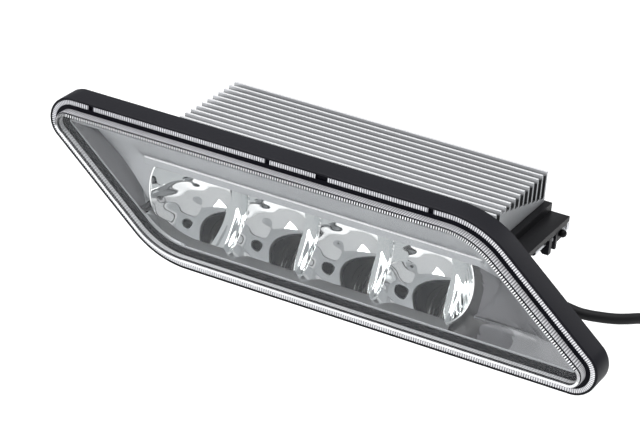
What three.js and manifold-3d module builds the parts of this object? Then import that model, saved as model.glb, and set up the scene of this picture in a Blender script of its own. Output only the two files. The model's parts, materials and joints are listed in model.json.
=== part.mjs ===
// Slanted four-reflector LED fog light for a vehicle bumper.
//
// Millimetres. X runs along the lamp, Y points back into the vehicle, Z is up. The lamp shines
// along -Y. The origin is the centre of the rim's rear seat, the plane that meets the bumper.
import * as THREE from 'three';
import { mergeVertices } from 'three/addons/utils/BufferGeometryUtils.js';
import Module from 'manifold-3d';

const wasm = await Module();
wasm.setup();

// ---------------------------------------------------------------- driving dimensions

const gap = 0.3;                // clearance between pieces that touch
const wall = 2.5;               // wall of the moulded housings

const rim = {                   // slanted front frame
  halfLength: 155.5, halfHeight: 44, slant: 1.19, depth: 17,
  wideRadius: 58, tightRadius: 15, lip: 1, ledgeY: -14.2, landInset: 10.1, windowInset: 13.3,
};
const lens = { proud: 6.5, inset: 7.1, thick: 2.4, flange: 2.3 };
const chamber = { halfLength: 119, slant: 0.6, centreX: -5.5, bottom: -37.3, back: 32 };
const collar = { top: 12.4, back: 3.7 };        // raised front edge of the chamber
const deck = { left: -125, right: 98.1, top: 7.9, thick: 2.5, back: 102, skirtBottom: -0.95 };
const bay = { left: -80, right: 75, bottom: -34, back: 60 };

const sink = {                  // finned aluminium body, one constant section along X
  left: -120.6, right: 93.7, bottom: 8.2, top: 28.2, front: 4, back: 99.7,
  finPitch: 6.6, finThick: 2.1, fins: 14, lastFin: 98.7,
};
const slot = { backY: 92, backFloor: 12.2, rise: 0.245, highest: 25.5, frontFloor: 20, frontY: 33 };

const bowl = {                  // lower halves of paraboloids, lit from their focus
  count: 4, pitch: 48.3, middleX: -8.7, focusY: 14.9, axisZ: 6, focalLength: 12.4,
  radius: 41, halfWidth: 34.8, top: 5.1, thick: 1.4,
};
const board = { front: 8, back: 30, bottom: 6.9, thick: 1.5 };
const visorBar = {
  left: -116, right: 104, frontY: -10, bottom: 12.5, top: 18.1, backY: -2.9, backBottom: 8.8,
};

const ear = { reach: 12.1, top: 2.5, bottom: -0.95, front: 34 };
const aim = {                   // right-hand aim adjuster; the left one is its mirror image
  x: 105.6, z: -6.2, shaftRadius: 2, boreRadius: 2.3, front: 60, headY: 103, headLong: 3.6,
  ballX: 110, ballY: 94, ballZ: -5.9, ballRadius: 2.55, stemRadius: 1.7,
};
const middleX = (deck.left + deck.right) / 2;

const cable = { radius: 3.3, sides: 10 };
const gland = { x: 75 + gap, y: 48, z: -24 };
const cablePath = [             // gland to plug, hanging free
  [112.6, 48, -24.2], [120, 47.9, -24.9], [128, 47.9, -26.3], [135, 48.2, -27.7], [142.1, 48.9, -29],
  [148.4, 50.6, -29.6], [154.2, 53.3, -30.1], [158.8, 56.1, -30.6], [163.1, 59.6, -31.2],
  [167.8, 65.2, -32.1], [172, 72.1, -33.5], [176, 79.5, -36.5], [180, 86.5, -41.5],
  [184, 92.8, -49], [187.4, 97.4, -58.5], [189.8, 100.2, -69.5], [191.2, 101.8, -81.5],
  [192, 102.6, -94.5], [192.4, 103, -108], [192.5, 103.1, -122], [192.5, 103.1, -136],
  [192.5, 103.1, -150], [192.5, 103.1, -164], [192.5, 103.1, -178],
];
const plug = { x: 192.5, y: 103.1, top: -178.3, wide: 19, deep: 12.4, long: 38, mouth: 15 };

// ---------------------------------------------------------------- finishes

const finish = (color, roughness, metalness = 0, opacity = 1) => new THREE.MeshStandardMaterial({
  color, roughness, metalness, opacity, transparent: opacity < 1,
});
const looks = {
  blackSatin: finish(0x24252b, 0.45),
  blackGloss: finish(0x1a1b1f, 0.2),
  clear: finish(0xe4ebee, 0.05, 0, 0.3),
  silver: finish(0xb4b8bc, 0.3, 0.8),
  chrome: finish(0xdfe3e6, 0.06, 1),
  aluminium: finish(0xcfd0d3, 0.4, 0.9),
  steel: finish(0xa9abb0, 0.3, 1),
  rubber: finish(0x1d1d1f, 0.8),
  padGrey: finish(0x8d9299, 0.8),
  whiteMask: finish(0xeef0ee, 0.5),
  brownMask: finish(0x2c2424, 0.5),
  greenMask: finish(0x1f5a3a, 0.45),
  phosphor: finish(0xf0d35a, 0.5),
  copper: finish(0xb5713c, 0.35, 0.8),
  darkChip: finish(0x2b2b2d, 0.5),
  capSleeve: finish(0x33405c, 0.4),
  sealBlue: finish(0x3a6ea8, 0.7),
};

// ---------------------------------------------------------------- geometry helpers

// The same faces with shared corners and nothing but position on them, facing outwards.
function closed(geometry) {
  const bare = geometry.clone();
  bare.deleteAttribute('normal');
  bare.deleteAttribute('uv');
  const merged = mergeVertices(bare, 1e-4);
  const p = merged.getAttribute('position');
  const index = Array.from(merged.getIndex().array);
  const [a, b, c] = [new THREE.Vector3(), new THREE.Vector3(), new THREE.Vector3()];
  const kept = [];
  let volume = 0;
  for (let i = 0; i < index.length; i += 3) {
    const [ia, ib, ic] = index.slice(i, i + 3);
    if (ia === ib || ib === ic || ic === ia) continue;
    kept.push(ia, ib, ic);
    volume += a.fromBufferAttribute(p, ia).dot(
      b.fromBufferAttribute(p, ib).cross(c.fromBufferAttribute(p, ic)));
  }
  merged.setIndex(volume < 0 ? kept.reverse() : kept);
  return merged;
}

function toSolid(geometry) {
  const g = closed(geometry);
  return new wasm.Manifold(new wasm.Mesh({
    numProp: 3,
    vertProperties: new Float32Array(g.getAttribute('position').array),
    triVerts: new Uint32Array(g.getIndex().array),
  }));
}

function toGeometry(solid) {
  const mesh = solid.getMesh();
  const g = new THREE.BufferGeometry();
  g.setAttribute('position', new THREE.BufferAttribute(mesh.vertProperties, 3));
  g.setIndex(new THREE.BufferAttribute(mesh.triVerts, 1));
  return g;
}

const join = (...parts) => toGeometry(parts.map(toSolid).reduce((all, next) => all.add(next)));
const cut = (base, ...tools) => toGeometry(
  tools.map(toSolid).reduce((left, tool) => left.subtract(tool), toSolid(base)));
const common = (a, b) => toGeometry(toSolid(a).intersect(toSolid(b)));

function box([x0, x1], [y0, y1], [z0, z1]) {
  return new THREE.BoxGeometry(x1 - x0, y1 - y0, z1 - z0)
    .translate((x0 + x1) / 2, (y0 + y1) / 2, (z0 + z1) / 2);
}

// A round rod along an axis, through the point [x, y, z] whose own coordinate is ignored.
function rod(axis, [from, to], [x, y, z], radius, sides = 16, endRadius = radius) {
  const g = new THREE.CylinderGeometry(endRadius, radius, to - from, sides);
  const middle = (from + to) / 2;
  if (axis === 'x') return g.rotateZ(-Math.PI / 2).translate(middle, y, z);
  if (axis === 'y') return g.translate(x, middle, z);
  return g.rotateX(Math.PI / 2).translate(x, y, middle);
}

// A solid through outlines in XZ planes, listed from the back (largest y) to the front.
function loft(levels) {
  const count = levels[0].points.length;
  const positions = levels.flatMap(({ points, y }) => points.flatMap((q) => [q.x, y, q.y]));
  const index = [];
  for (let level = 0; level < levels.length - 1; level += 1) {
    for (let i = 0; i < count; i += 1) {
      const [a, b] = [level * count + i, level * count + (i + 1) % count];
      index.push(a, b, b + count, a, b + count, a + count);
    }
  }
  const front = (levels.length - 1) * count;
  const frontCap = THREE.ShapeUtils.triangulateShape(levels[levels.length - 1].points, []);
  const backCap = THREE.ShapeUtils.triangulateShape(levels[0].points, []);
  frontCap.forEach(([a, b, c]) => index.push(front + a, front + b, front + c));
  backCap.forEach(([a, b, c]) => index.push(c, b, a));
  const g = new THREE.BufferGeometry();
  g.setAttribute('position', new THREE.Float32BufferAttribute(positions, 3));
  g.setIndex(index);
  return g;
}

const prism = (points, [y0, y1]) => loft([{ points, y: y1 }, { points, y: y0 }]);

// Extrudes a section drawn in YZ along X.
function alongX(section, from, to) {
  return new THREE.ExtrudeGeometry(section, { depth: to - from, bevelEnabled: false })
    .rotateX(Math.PI / 2).rotateZ(Math.PI / 2).translate(from, 0, 0);
}

// A rounded parallelogram in XZ whose ends lean: x = centreX +- halfLength - slant * z.
function slanted({ halfLength, bottom, top, slant, centreX = 0, wide, tight, steps = 6 }) {
  const edge = (side, z) => new THREE.Vector2(centreX + side * halfLength - slant * z, z);
  const corners = [edge(-1, bottom), edge(1, bottom), edge(1, top), edge(-1, top)];
  const radii = [wide, tight, wide, tight];
  return corners.flatMap((corner, k) => {
    const into = corner.clone().sub(corners[(k + 3) % 4]).normalize();
    const out = corners[(k + 1) % 4].clone().sub(corner).normalize();
    const turn = Math.acos(into.dot(out));
    const start = corner.clone().addScaledVector(into, -radii[k] * Math.tan(turn / 2));
    const spoke = new THREE.Vector2(into.y, -into.x).multiplyScalar(radii[k]);
    const centre = start.clone().sub(spoke);
    return Array.from({ length: steps + 1 }, (_, i) => (
      spoke.clone().rotateAround(new THREE.Vector2(), (turn * i) / steps).add(centre)));
  });
}

// The rim's outline, moved inwards all round.
function rimOutline(inset) {
  return slanted({
    halfLength: rim.halfLength - inset * Math.hypot(1, rim.slant),
    bottom: inset - rim.halfHeight,
    top: rim.halfHeight - inset,
    slant: rim.slant,
    wide: rim.wideRadius - inset,
    tight: Math.max(rim.tightRadius - inset, 1.5),
  });
}

const rimLoft = (levels) => loft(levels.map(([inset, y]) => ({ points: rimOutline(inset), y })));
const rimRing = (outer, inner, span) => cut(
  prism(rimOutline(outer), span), prism(rimOutline(inner), [span[0] - 1, span[1] + 1]));

// The chamber's outline behind the rim, moved inwards all round.
function chamberOutline(inset, top = deck.top - inset) {
  return slanted({
    halfLength: chamber.halfLength - inset * Math.hypot(1, chamber.slant),
    bottom: chamber.bottom + inset,
    top,
    slant: chamber.slant,
    centreX: chamber.centreX,
    wide: 14 - inset,
    tight: 10 - inset,
    steps: 3,
  });
}

const mirror = (geometry) => closed(
  closed(geometry).translate(-middleX, 0, 0).scale(-1, 1, 1).translate(middleX, 0, 0));
const bowlX = (i) => bowl.middleX + (i - (bowl.count - 1) / 2) * bowl.pitch;

const group = new THREE.Group();
function add(name, material, geometry) {
  const mesh = new THREE.Mesh(closed(geometry), material.clone());
  mesh.name = name;
  group.add(mesh);
}

// ---------------------------------------------------------------- front frame, lens and trim

const sealSeat = { outer: 3, inner: 5.6, depth: 1.5 };
const housingSeat = { margin: 1.2, depth: 0.8 };        // recess in the frame's back round the chamber
const windowBack = -2.5;
const rimWall = 3;
const ledgeBack = -11.2;

function frontFrame() {
  const body = rimLoft([[0, 0], [0, -rim.depth + 0.5], [0.5, -rim.depth]]);
  const ahead = -rim.depth - 5;
  const recess = rimRing(rim.lip, rim.landInset, [ahead, rim.ledgeY]);
  const aheadOfLand = prism(rimOutline(rim.landInset - 0.1), [ahead, -16.3]);
  const window = prism(rimOutline(rim.windowInset), [ahead, windowBack]);
  const hollow = prism(rimOutline(rimWall), [ledgeBack, windowBack]);
  const groove = rimRing(sealSeat.outer, sealSeat.inner, [ahead, rim.ledgeY + sealSeat.depth]);
  const backOpening = prism(chamberOutline(wall, collar.top - wall), [windowBack - 1, 1]);
  const { margin, depth } = housingSeat;
  const backRecess = prism(chamberOutline(-margin, collar.top + margin), [-depth, 1]);
  return cut(body, recess, aheadOfLand, window, hollow, groove, backOpening, backRecess);
}

const lensBack = rim.ledgeY - gap;

function lensCover() {
  const front = -rim.depth - lens.proud;
  const shelf = lensBack - lens.flange;
  const outside = rimLoft([
    [rim.lip + gap, lensBack], [rim.lip + gap, shelf], [lens.inset, shelf],
    [lens.inset + 0.15, front + 1], [lens.inset + 0.5, front + 0.3], [lens.inset + 1.2, front],
  ]);
  const inside = rimLoft([
    [rim.landInset - gap, lensBack + 1], [lens.inset + lens.thick, shelf],
    [lens.inset + lens.thick + 0.15, front + lens.thick],
  ]);
  return cut(outside, inside);
}

const lensSeal = () => rimRing(
  sealSeat.outer + gap, sealSeat.inner - gap, [rim.ledgeY, rim.ledgeY + sealSeat.depth - gap]);

// Funnel of the silver trim: mouth at the land, floor around the reflectors.
const funnel = { mouthInset: 13.6, mouthY: -16.2, floorY: -7.5, floorThick: 1.4, thick: 1.3 };

function funnelOutline(inset) {
  return slanted({
    halfLength: 127 - inset * Math.hypot(1, rim.slant),
    bottom: -30.2 + inset,
    top: 20 - inset,
    slant: rim.slant,
    wide: 40 - inset,
    tight: 3 - inset,
  });
}

function innerTrim() {
  const mouth = (inset, y) => ({ points: rimOutline(funnel.mouthInset + inset), y });
  const outside = loft([
    { points: funnelOutline(0), y: funnel.floorY }, mouth(0, funnel.mouthY + 1.4),
    mouth(0, funnel.mouthY)]);
  const inside = loft([
    { points: funnelOutline(funnel.thick), y: funnel.floorY - funnel.floorThick },
    mouth(funnel.thick, funnel.mouthY + 1), mouth(funnel.thick, funnel.mouthY - 1)]);
  const span = [funnel.mouthY + 1.4, 1];
  const ends = [bowlX(0) - bowl.halfWidth - 1.6, bowlX(bowl.count - 1) + bowl.halfWidth + 1.6];
  const mouths = [0, bowl.count - 1].map((i) => common(
    rod('y', span, [bowlX(i), 0, bowl.axisZ], bowl.radius + 3, 40), box(ends, span, [-50, 8])));
  const underVisor = box([visorBar.left - gap, visorBar.right + gap], span,
    [0, visorBar.top + gap]);
  const betweenBowls = box([bowlX(0), bowlX(bowl.count - 1)], span, [-50, 1]);
  return cut(outside, inside, ...mouths, underVisor, betweenBowls);
}

// Wedge bar over the reflectors that hides the LEDs from the front.
function visor() {
  const { frontY, backY, bottom, top, backBottom } = visorBar;
  const section = new THREE.Shape([
    new THREE.Vector2(frontY, bottom), new THREE.Vector2(frontY, top),
    new THREE.Vector2(backY, top), new THREE.Vector2(backY, backBottom)]);
  return alongX(section, visorBar.left, visorBar.right);
}

// ---------------------------------------------------------------- reflectors and light engine

function reflector(i) {
  const apexY = bowl.focusY + bowl.focalLength;
  const rings = 7;
  const curve = (k, back) => {
    const r = (bowl.radius * k) / rings;
    return new THREE.Vector2(r, apexY + back - r ** 2 / (4 * bowl.focalLength));
  };
  const steps = Array.from({ length: rings + 1 }, (_, k) => k);
  const mirrorFace = steps.map((k) => curve(k, 0));
  const backFace = steps.map((k) => curve(k, bowl.thick)).reverse();
  const shell = new THREE.LatheGeometry([...mirrorFace, ...backFace], 36)
    .translate(bowlX(i), 0, bowl.axisZ);
  const side = bowl.pitch / 2 - gap / 2;
  const left = bowlX(i) - (i === 0 ? bowl.halfWidth : side);
  const right = bowlX(i) + (i === bowl.count - 1 ? bowl.halfWidth : side);
  const room = prism(chamberOutline(wall + gap, bowl.top), [-20, 40]);
  return common(common(shell, box([left, right], [-20, 40], [-50, bowl.top])), room);
}

const boardSpan = [sink.left + 8, sink.right - 8];
const boardScrewX = [0.5, 1.5, 2.5].map((i) => bowlX(i));
const boardScrewY = 22;

function ledBoard() {
  const plate = box(boardSpan, [board.front, board.back], [board.bottom, board.bottom + board.thick]);
  const holes = boardScrewX.map((x) => rod('z', [0, 20], [x, boardScrewY, 0], 1.7, 12));
  return cut(plate, ...holes);
}

function thermalPad() {
  const bottom = board.bottom + board.thick + gap;
  const plate = box([boardSpan[0] + 1, boardSpan[1] - 1], [board.front + 1, board.back - 1],
    [bottom, bottom + 0.5]);
  const holes = boardScrewX.map((x) => rod('z', [0, 20], [x, boardScrewY, 0], 1.7, 12));
  return cut(plate, ...holes);
}

function boardScrew(x) {
  const top = board.bottom - gap;
  const head = rod('z', [top - 1.3, top], [x, boardScrewY, 0], 2.7, 12);
  return join(head, rod('z', [top - 0.5, 15], [x, boardScrewY, 0], 1.35, 12));
}

function led(i) {
  const top = board.bottom - gap;
  const base = box([bowlX(i) - 2.6, bowlX(i) + 2.6], [bowl.focusY - 2.6, bowl.focusY + 2.6],
    [top - 0.7, top]);
  const dome = box([bowlX(i) - 1.7, bowlX(i) + 1.7], [bowl.focusY - 1.7, bowl.focusY + 1.7],
    [top - 1.1, top - 0.5]);
  return join(base, dome);
}

const slotFloor = (y) => (y < slot.frontY ? slot.frontFloor
  : Math.min(slot.highest, slot.backFloor + slot.rise * (slot.backY - y)));

const sinkScrews = [[-109, 47], [82, 47], [-109, 88.7], [82, 88.7]];
const sinkScrewTop = (y) => (y > 80 ? 11.6 : 16);

function heatSink() {
  const recess = { from: 6.5, to: 32, z: board.bottom + board.thick + 0.5 + 2 * gap };
  const section = [[sink.front, sink.bottom], [recess.from, sink.bottom], [recess.from, recess.z],
    [recess.to, recess.z], [recess.to, sink.bottom], [sink.back, sink.bottom]];
  for (let i = 0; i < sink.fins; i += 1) {
    const y = sink.lastFin - i * sink.finPitch;
    const floor = i < sink.fins - 1 ? slotFloor(y - sink.finPitch / 2) : slot.frontFloor;
    const half = sink.finThick / 2;
    if (i > 0) section.push([y + half, slotFloor(y + sink.finPitch / 2)]);
    section.push([i > 0 ? y + half * 0.85 : sink.back, sink.top], [y - half * 0.85, sink.top]);
    section.push([y - half, floor]);
  }
  section.push([sink.front, slot.frontFloor]);
  const shape = new THREE.Shape(section.map(([y, z]) => new THREE.Vector2(y, z)));
  const holes = sinkScrews.map(([x, y]) => rod('z', [0, sinkScrewTop(y)], [x, y, 0], 2.1, 10));
  const boardHoles = boardScrewX.map((x) => rod('z', [0, 15.6], [x, boardScrewY, 0], 1.7, 12));
  return cut(alongX(shape, sink.left, sink.right), ...holes, ...boardHoles);
}

const sinkSeal = { front: 2.6, back: 36, left: -118, right: 91.2, width: 1.8, depth: 1.2 };

function sinkSealRing(grow, [bottom, top]) {
  const { left, right, front, back, width } = sinkSeal;
  const outer = box([left - grow, right + grow], [front + 2 - grow, back + grow], [bottom, top]);
  const inner = box([left + width + grow, right - width - grow],
    [front + 2 + width + grow, back - width - grow], [bottom - 1, top + 1]);
  return cut(outer, inner);
}

function sinkScrew([x, y]) {
  const top = deck.top - deck.thick - gap;
  const head = rod('z', [top - 2.6, top], [x, y, 0], 3.8, 12);
  return join(head, rod('z', [top - 1, sinkScrewTop(y) - gap], [x, y, 0], 1.8, 10));
}

// ---------------------------------------------------------------- rear housing and its cover

const housingFront = 1.8;

function rearHousing() {
  const shell = join(prism(chamberOutline(0), [housingFront, chamber.back]),
    prism(chamberOutline(0, collar.top), [housingFront, collar.back]));
  const platform = box([deck.left, deck.right], [housingFront, deck.back],
    [deck.skirtBottom, deck.top]);
  const rearBox = box([bay.left, bay.right], [chamber.back - 1, bay.back], [bay.bottom, deck.top]);
  const earPlate = box([deck.right - 1, deck.right + ear.reach], [ear.front, deck.back],
    [ear.bottom, ear.top]);
  const solid = join(shell, platform, rearBox, earPlate, mirror(earPlate));
  const ceiling = deck.top - deck.thick;
  const frontRoom = prism(chamberOutline(wall, ceiling), [0, chamber.back - wall]);
  const collarRoom = prism(chamberOutline(wall, collar.top - wall), [0, collar.back + 0.1]);
  const bayRoom = box([bay.left + wall, bay.right - wall], [chamber.back - wall - 1, bay.back + 1],
    [bay.bottom + wall, ceiling]);
  const underDeck = (x0, x1) => box([x0, x1], [chamber.back, deck.back - wall],
    [deck.skirtBottom - 1, ceiling]);
  const rooms = [
    underDeck(deck.left + wall, bay.left), underDeck(bay.right, deck.right - wall),
    box([bay.left - 1, bay.right + 1], [bay.back, deck.back - wall],
      [deck.skirtBottom - 1, ceiling])];
  const lightOpening = box([sinkSeal.left + 4.5, sinkSeal.right - 4.5],
    [sinkSeal.front + 4.5, 33], [ceiling - 1, deck.top + 1]);
  const groove = sinkSealRing(gap, [deck.top - sinkSeal.depth, deck.top + 1]);
  const screwHoles = sinkScrews.map(([x, y]) => (
    rod('z', [ceiling - 1, deck.top + 1], [x, y, 0], 2.2, 10)));
  const glandHole = rod('x', [bay.right - wall - 1, bay.right + 1], [0, gland.y, gland.z], 5.3, 20);
  const hollowed = cut(solid, frontRoom, collarRoom, bayRoom, ...rooms);
  return cut(hollowed, lightOpening, groove, ...screwHoles, glandHole);
}

// Flat ring between the front frame and the rear housing.
const housingSeal = () => cut(
  prism(chamberOutline(gap, collar.top - gap), [gap - housingSeat.depth, housingFront - gap]),
  prism(chamberOutline(wall - gap, collar.top - wall + gap), [-1, housingFront + 1]));

const cover = { thick: 2.6, lug: 4.6, y: bay.back + 1.5 };
const coverSpanX = [bay.left, bay.right];
const coverSpanZ = [bay.bottom, 2];
const coverScrews = [[bay.left - 4, -4], [bay.right + 4, -4],
  [bay.left + 12, bay.bottom - 4], [bay.right - 12, bay.bottom - 4]];

const vent = { x: -30, z: -16, neck: 3, cap: 6.5 };

function backCover() {
  const slab = [cover.y, cover.y + cover.thick];
  const plate = box(coverSpanX, slab, coverSpanZ);
  const lugs = coverScrews.map(([x, z]) => box([x - cover.lug, x + cover.lug], slab,
    [z - cover.lug, z + cover.lug]));
  const ribs = [-62, -5, 25, 55].map((x) => box([x - 1, x + 1],
    [slab[1] - 0.5, slab[1] + 2], [bay.bottom + 5, -4]));
  const holes = coverScrews.map(([x, z]) => (
    rod('y', [cover.y - 1, cover.y + 9], [x, 0, z], 2.2, 12)));
  const ventHole = rod('y', [cover.y - 1, cover.y + 9], [vent.x, 0, vent.z], vent.neck + gap, 16);
  return cut(join(plate, ...lugs, ...ribs), ...holes, ventHole);
}

// Breather plug with a wide cap outside the cover and a neck through it.
function ventCap() {
  const outer = cover.y + cover.thick + gap;
  const cap = rod('y', [outer, outer + 3], [vent.x, 0, vent.z], vent.cap, 20, vent.cap - 0.8);
  return join(cap, rod('y', [cover.y - 1, outer + 1], [vent.x, 0, vent.z], vent.neck, 16));
}

const coverSeal = () => cut(
  box(coverSpanX, [bay.back + gap, cover.y - gap], coverSpanZ),
  box([bay.left + wall, bay.right - wall], [bay.back - 1, cover.y + 1],
    [bay.bottom + wall, coverSpanZ[1] - wall]));

// Bosses beside the bay that the cover screws bite into.
function coverBoss([x, z]) {
  const post = rod('y', [chamber.back + gap, cover.y - gap], [x, 0, z], 3.6, 16);
  return cut(post, rod('y', [cover.y - 14, cover.y + 1], [x, 0, z], 1.9, 12));
}

function coverScrew([x, z]) {
  const face = cover.y + cover.thick + gap;
  const head = rod('y', [face, face + 2.6], [x, 0, z], 3.4, 12);
  return join(head, rod('y', [cover.y - 12, face + 1], [x, 0, z], 1.6, 12));
}

// ---------------------------------------------------------------- driver electronics

const driver = { y: 42, thick: 1.6, left: -66, right: 58, bottom: -29, top: 1 };
const driverBack = driver.y + driver.thick + gap;

const driverBoard = () => box(
  [driver.left, driver.right], [driver.y, driver.y + driver.thick], [driver.bottom, driver.top]);

function driverCoil() {
  const core = rod('y', [driverBack, driverBack + 9], [-40, 0, -14], 8, 24);
  return cut(core, rod('y', [driverBack - 1, driverBack + 10], [-40, 0, -14], 3, 16));
}

const driverCapacitor = (x) => rod('y', [driverBack, driverBack + 11], [x, 0, -14], 4, 20);
const driverChip = () => box([24, 36], [driverBack, driverBack + 2.2], [-20, -8]);

function driverConnector() {
  const shell = box([42, 54], [driverBack, driverBack + 8], [-22, -12]);
  return cut(shell, box([43.2, 52.8], [driverBack + 2, driverBack + 9], [-20.8, -13.2]));
}

// ---------------------------------------------------------------- aim adjusters

function aimBracket() {
  const strip = box([99.5, 109.4], [73, 101], [-2.9, ear.bottom - gap]);
  const lug = (y0, y1, inner, low) => {
    const outline = [[102, -2], [102, -8.6], [inner, low], [109.6, low], [109.6, -2]];
    return prism(outline.map(([x, z]) => new THREE.Vector2(x, z)), [y0, y1]);
  };
  const bore = rod('y', [70, 104], [aim.x, 0, aim.z], aim.boreRadius, 20);
  return cut(join(strip, lug(75, 79, 105.6, -13), lug(84.6, 87, 106.6, -13)), bore);
}

function aimScrew() {
  const shaft = rod('y', [aim.front, aim.headY + 1], [aim.x, 0, aim.z], aim.shaftRadius, 16);
  const ring = rod('y', [79.4, 84.2], [aim.x, 0, aim.z], 3, 16);
  const head = rod('y', [aim.headY, aim.headY + aim.headLong], [aim.x, 0, aim.z], 3.9, 6);
  return join(shaft, ring, head);
}

function aimSlider() {
  const block = box([101.6, 108.4], [90.6, 97.4], [-10.4, -2.9 - gap]);
  const stem = rod('x', [108, aim.ballX], [0, aim.ballY, aim.ballZ], aim.stemRadius, 12);
  const ball = new THREE.SphereGeometry(aim.ballRadius, 14, 8)
    .translate(aim.ballX, aim.ballY, aim.ballZ);
  const bore = rod('y', [80, 104], [aim.x, 0, aim.z], aim.boreRadius, 20);
  return cut(join(block, stem, ball), bore);
}

// ---------------------------------------------------------------- supply cable and plug

// Threaded body in the bay's wall, with a hex outside and a nut ring inside.
function cableGland() {
  const neck = rod('x', [bay.right - wall - 2.5, gland.x + 1], [0, gland.y, gland.z], 5, 20);
  const hex = rod('x', [gland.x, gland.x + 6], [0, gland.y, gland.z], 8.6, 6);
  const dome = rod('x', [gland.x + 5, gland.x + 12], [0, gland.y, gland.z], 7.6, 20, 6.4);
  return join(neck, hex, dome);
}

// Ribbed rubber sleeve that tapers from the gland to the cable.
function strainRelief() {
  const from = gland.x + 12 + gap;
  const to = cablePath[0][0] - gap;
  const sleeve = rod('x', [from, to], [0, gland.y, gland.z], 5.8, 14, 4.1);
  const ribs = [0.12, 0.34, 0.56, 0.78].map((share) => {
    const x = from + (to - from) * share;
    return rod('x', [x, x + 2.2], [0, gland.y, gland.z], 6.4 - 1.7 * share, 14);
  });
  return join(sleeve, ...ribs);
}

function supplyCable() {
  const points = cablePath.map(([x, y, z]) => new THREE.Vector3(x, y, z));
  const circle = new THREE.Shape(Array.from({ length: cable.sides }, (_, i) => {
    const angle = (2 * Math.PI * i) / cable.sides;
    return new THREE.Vector2(Math.cos(angle), Math.sin(angle)).multiplyScalar(cable.radius);
  }));
  return new THREE.ExtrudeGeometry(circle, {
    steps: 26, bevelEnabled: false, extrudePath: new THREE.CatmullRomCurve3(points),
  });
}

function plugBody() {
  const { x, y, top, wide, deep, long, mouth } = plug;
  const collar = rod('z', [top - 12, top - 8.6 - gap], [x, y, 0], 6.1, 20);
  const shell = box([x - wide / 2, x + wide / 2], [y - deep / 2, y + deep / 2],
    [top - long, top - 11]);
  const latch = box([x - 3.5, x + 3.5], [y + deep / 2 - 1, y + deep / 2 + 2],
    [top - long + 3, top - 16]);
  const room = box([x - wide / 2 + 1.5, x + wide / 2 - 1.5],
    [y - deep / 2 + 1.5, y + deep / 2 - 1.5], [top - long - 1, top - long + mouth]);
  const pinHoles = [-1, 1].map((side) => box([x + side * 3.6 - 1.4, x + side * 3.6 + 1.4],
    [y - 0.8, y + 0.8], [top - long + mouth - 1, top - 19]));
  return cut(join(collar, shell, latch), room, ...pinHoles);
}

const plugSeal = () => rod('z', [plug.top - 8.6, plug.top - gap], [plug.x, plug.y, 0], 4.9, 20, 4.1);

function plugPin(side) {
  const { x, y, top, long, mouth } = plug;
  const middle = x + side * 3.6;
  return box([middle - 1.1, middle + 1.1], [y - 0.4, y + 0.4],
    [top - long + mouth - 5, top - 19 - gap]);
}

// ---------------------------------------------------------------- assembly

add('front_frame', looks.blackSatin, frontFrame());
add('lens', looks.clear, lensCover());
add('lens_seal', looks.rubber, lensSeal());
add('inner_trim', looks.silver, innerTrim());
add('visor', looks.silver, visor());
for (let i = 0; i < bowl.count; i += 1) {
  add(`reflector_${i + 1}`, looks.chrome, reflector(i));
  add(`led_${i + 1}`, looks.phosphor, led(i));
}
add('led_board', looks.brownMask, ledBoard());
add('thermal_pad', looks.padGrey, thermalPad());
boardScrewX.forEach((x, i) => add(`board_screw_${i + 1}`, looks.steel, boardScrew(x)));
add('heat_sink', looks.aluminium, heatSink());
add('heat_sink_seal', looks.rubber,
  sinkSealRing(0, [deck.top - sinkSeal.depth + gap, sink.bottom - gap]));
sinkScrews.forEach((at, i) => add(`heat_sink_screw_${i + 1}`, looks.steel, sinkScrew(at)));
add('rear_housing', looks.blackGloss, rearHousing());
add('housing_seal', looks.rubber, housingSeal());
add('back_cover', looks.blackSatin, backCover());
add('cover_seal', looks.rubber, coverSeal());
coverScrews.forEach((at, i) => {
  add(`cover_boss_${i + 1}`, looks.blackSatin, coverBoss(at));
  add(`cover_screw_${i + 1}`, looks.steel, coverScrew(at));
});
add('vent_cap', looks.rubber, ventCap());
add('driver_board', looks.greenMask, driverBoard());
add('driver_coil', looks.copper, driverCoil());
[-16, 2].forEach((x, i) => add(`driver_capacitor_${i + 1}`, looks.capSleeve, driverCapacitor(x)));
add('driver_chip', looks.darkChip, driverChip());
add('driver_connector', looks.whiteMask, driverConnector());
[['right', (g) => g], ['left', mirror]].forEach(([side, place]) => {
  add(`aim_bracket_${side}`, looks.blackSatin, place(aimBracket()));
  add(`aim_screw_${side}`, looks.steel, place(aimScrew()));
  add(`aim_slider_${side}`, looks.blackGloss, place(aimSlider()));
});
add('cable_gland', looks.blackSatin, cableGland());
add('strain_relief', looks.rubber, strainRelief());
add('supply_cable', looks.rubber, supplyCable());
add('plug_seal', looks.sealBlue, plugSeal());
add('plug_body', looks.blackSatin, plugBody());
[-1, 1].forEach((side, i) => add(`plug_pin_${i + 1}`, looks.copper, plugPin(side)));

export default group;
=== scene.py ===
"""Slanted four-reflector LED fog light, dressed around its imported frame. Metres, +Z up, front is -Y."""

import json
import math

import bmesh
import bpy
from mathutils import Matrix, Vector
from mathutils.geometry import delaunay_2d_cdt


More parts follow.
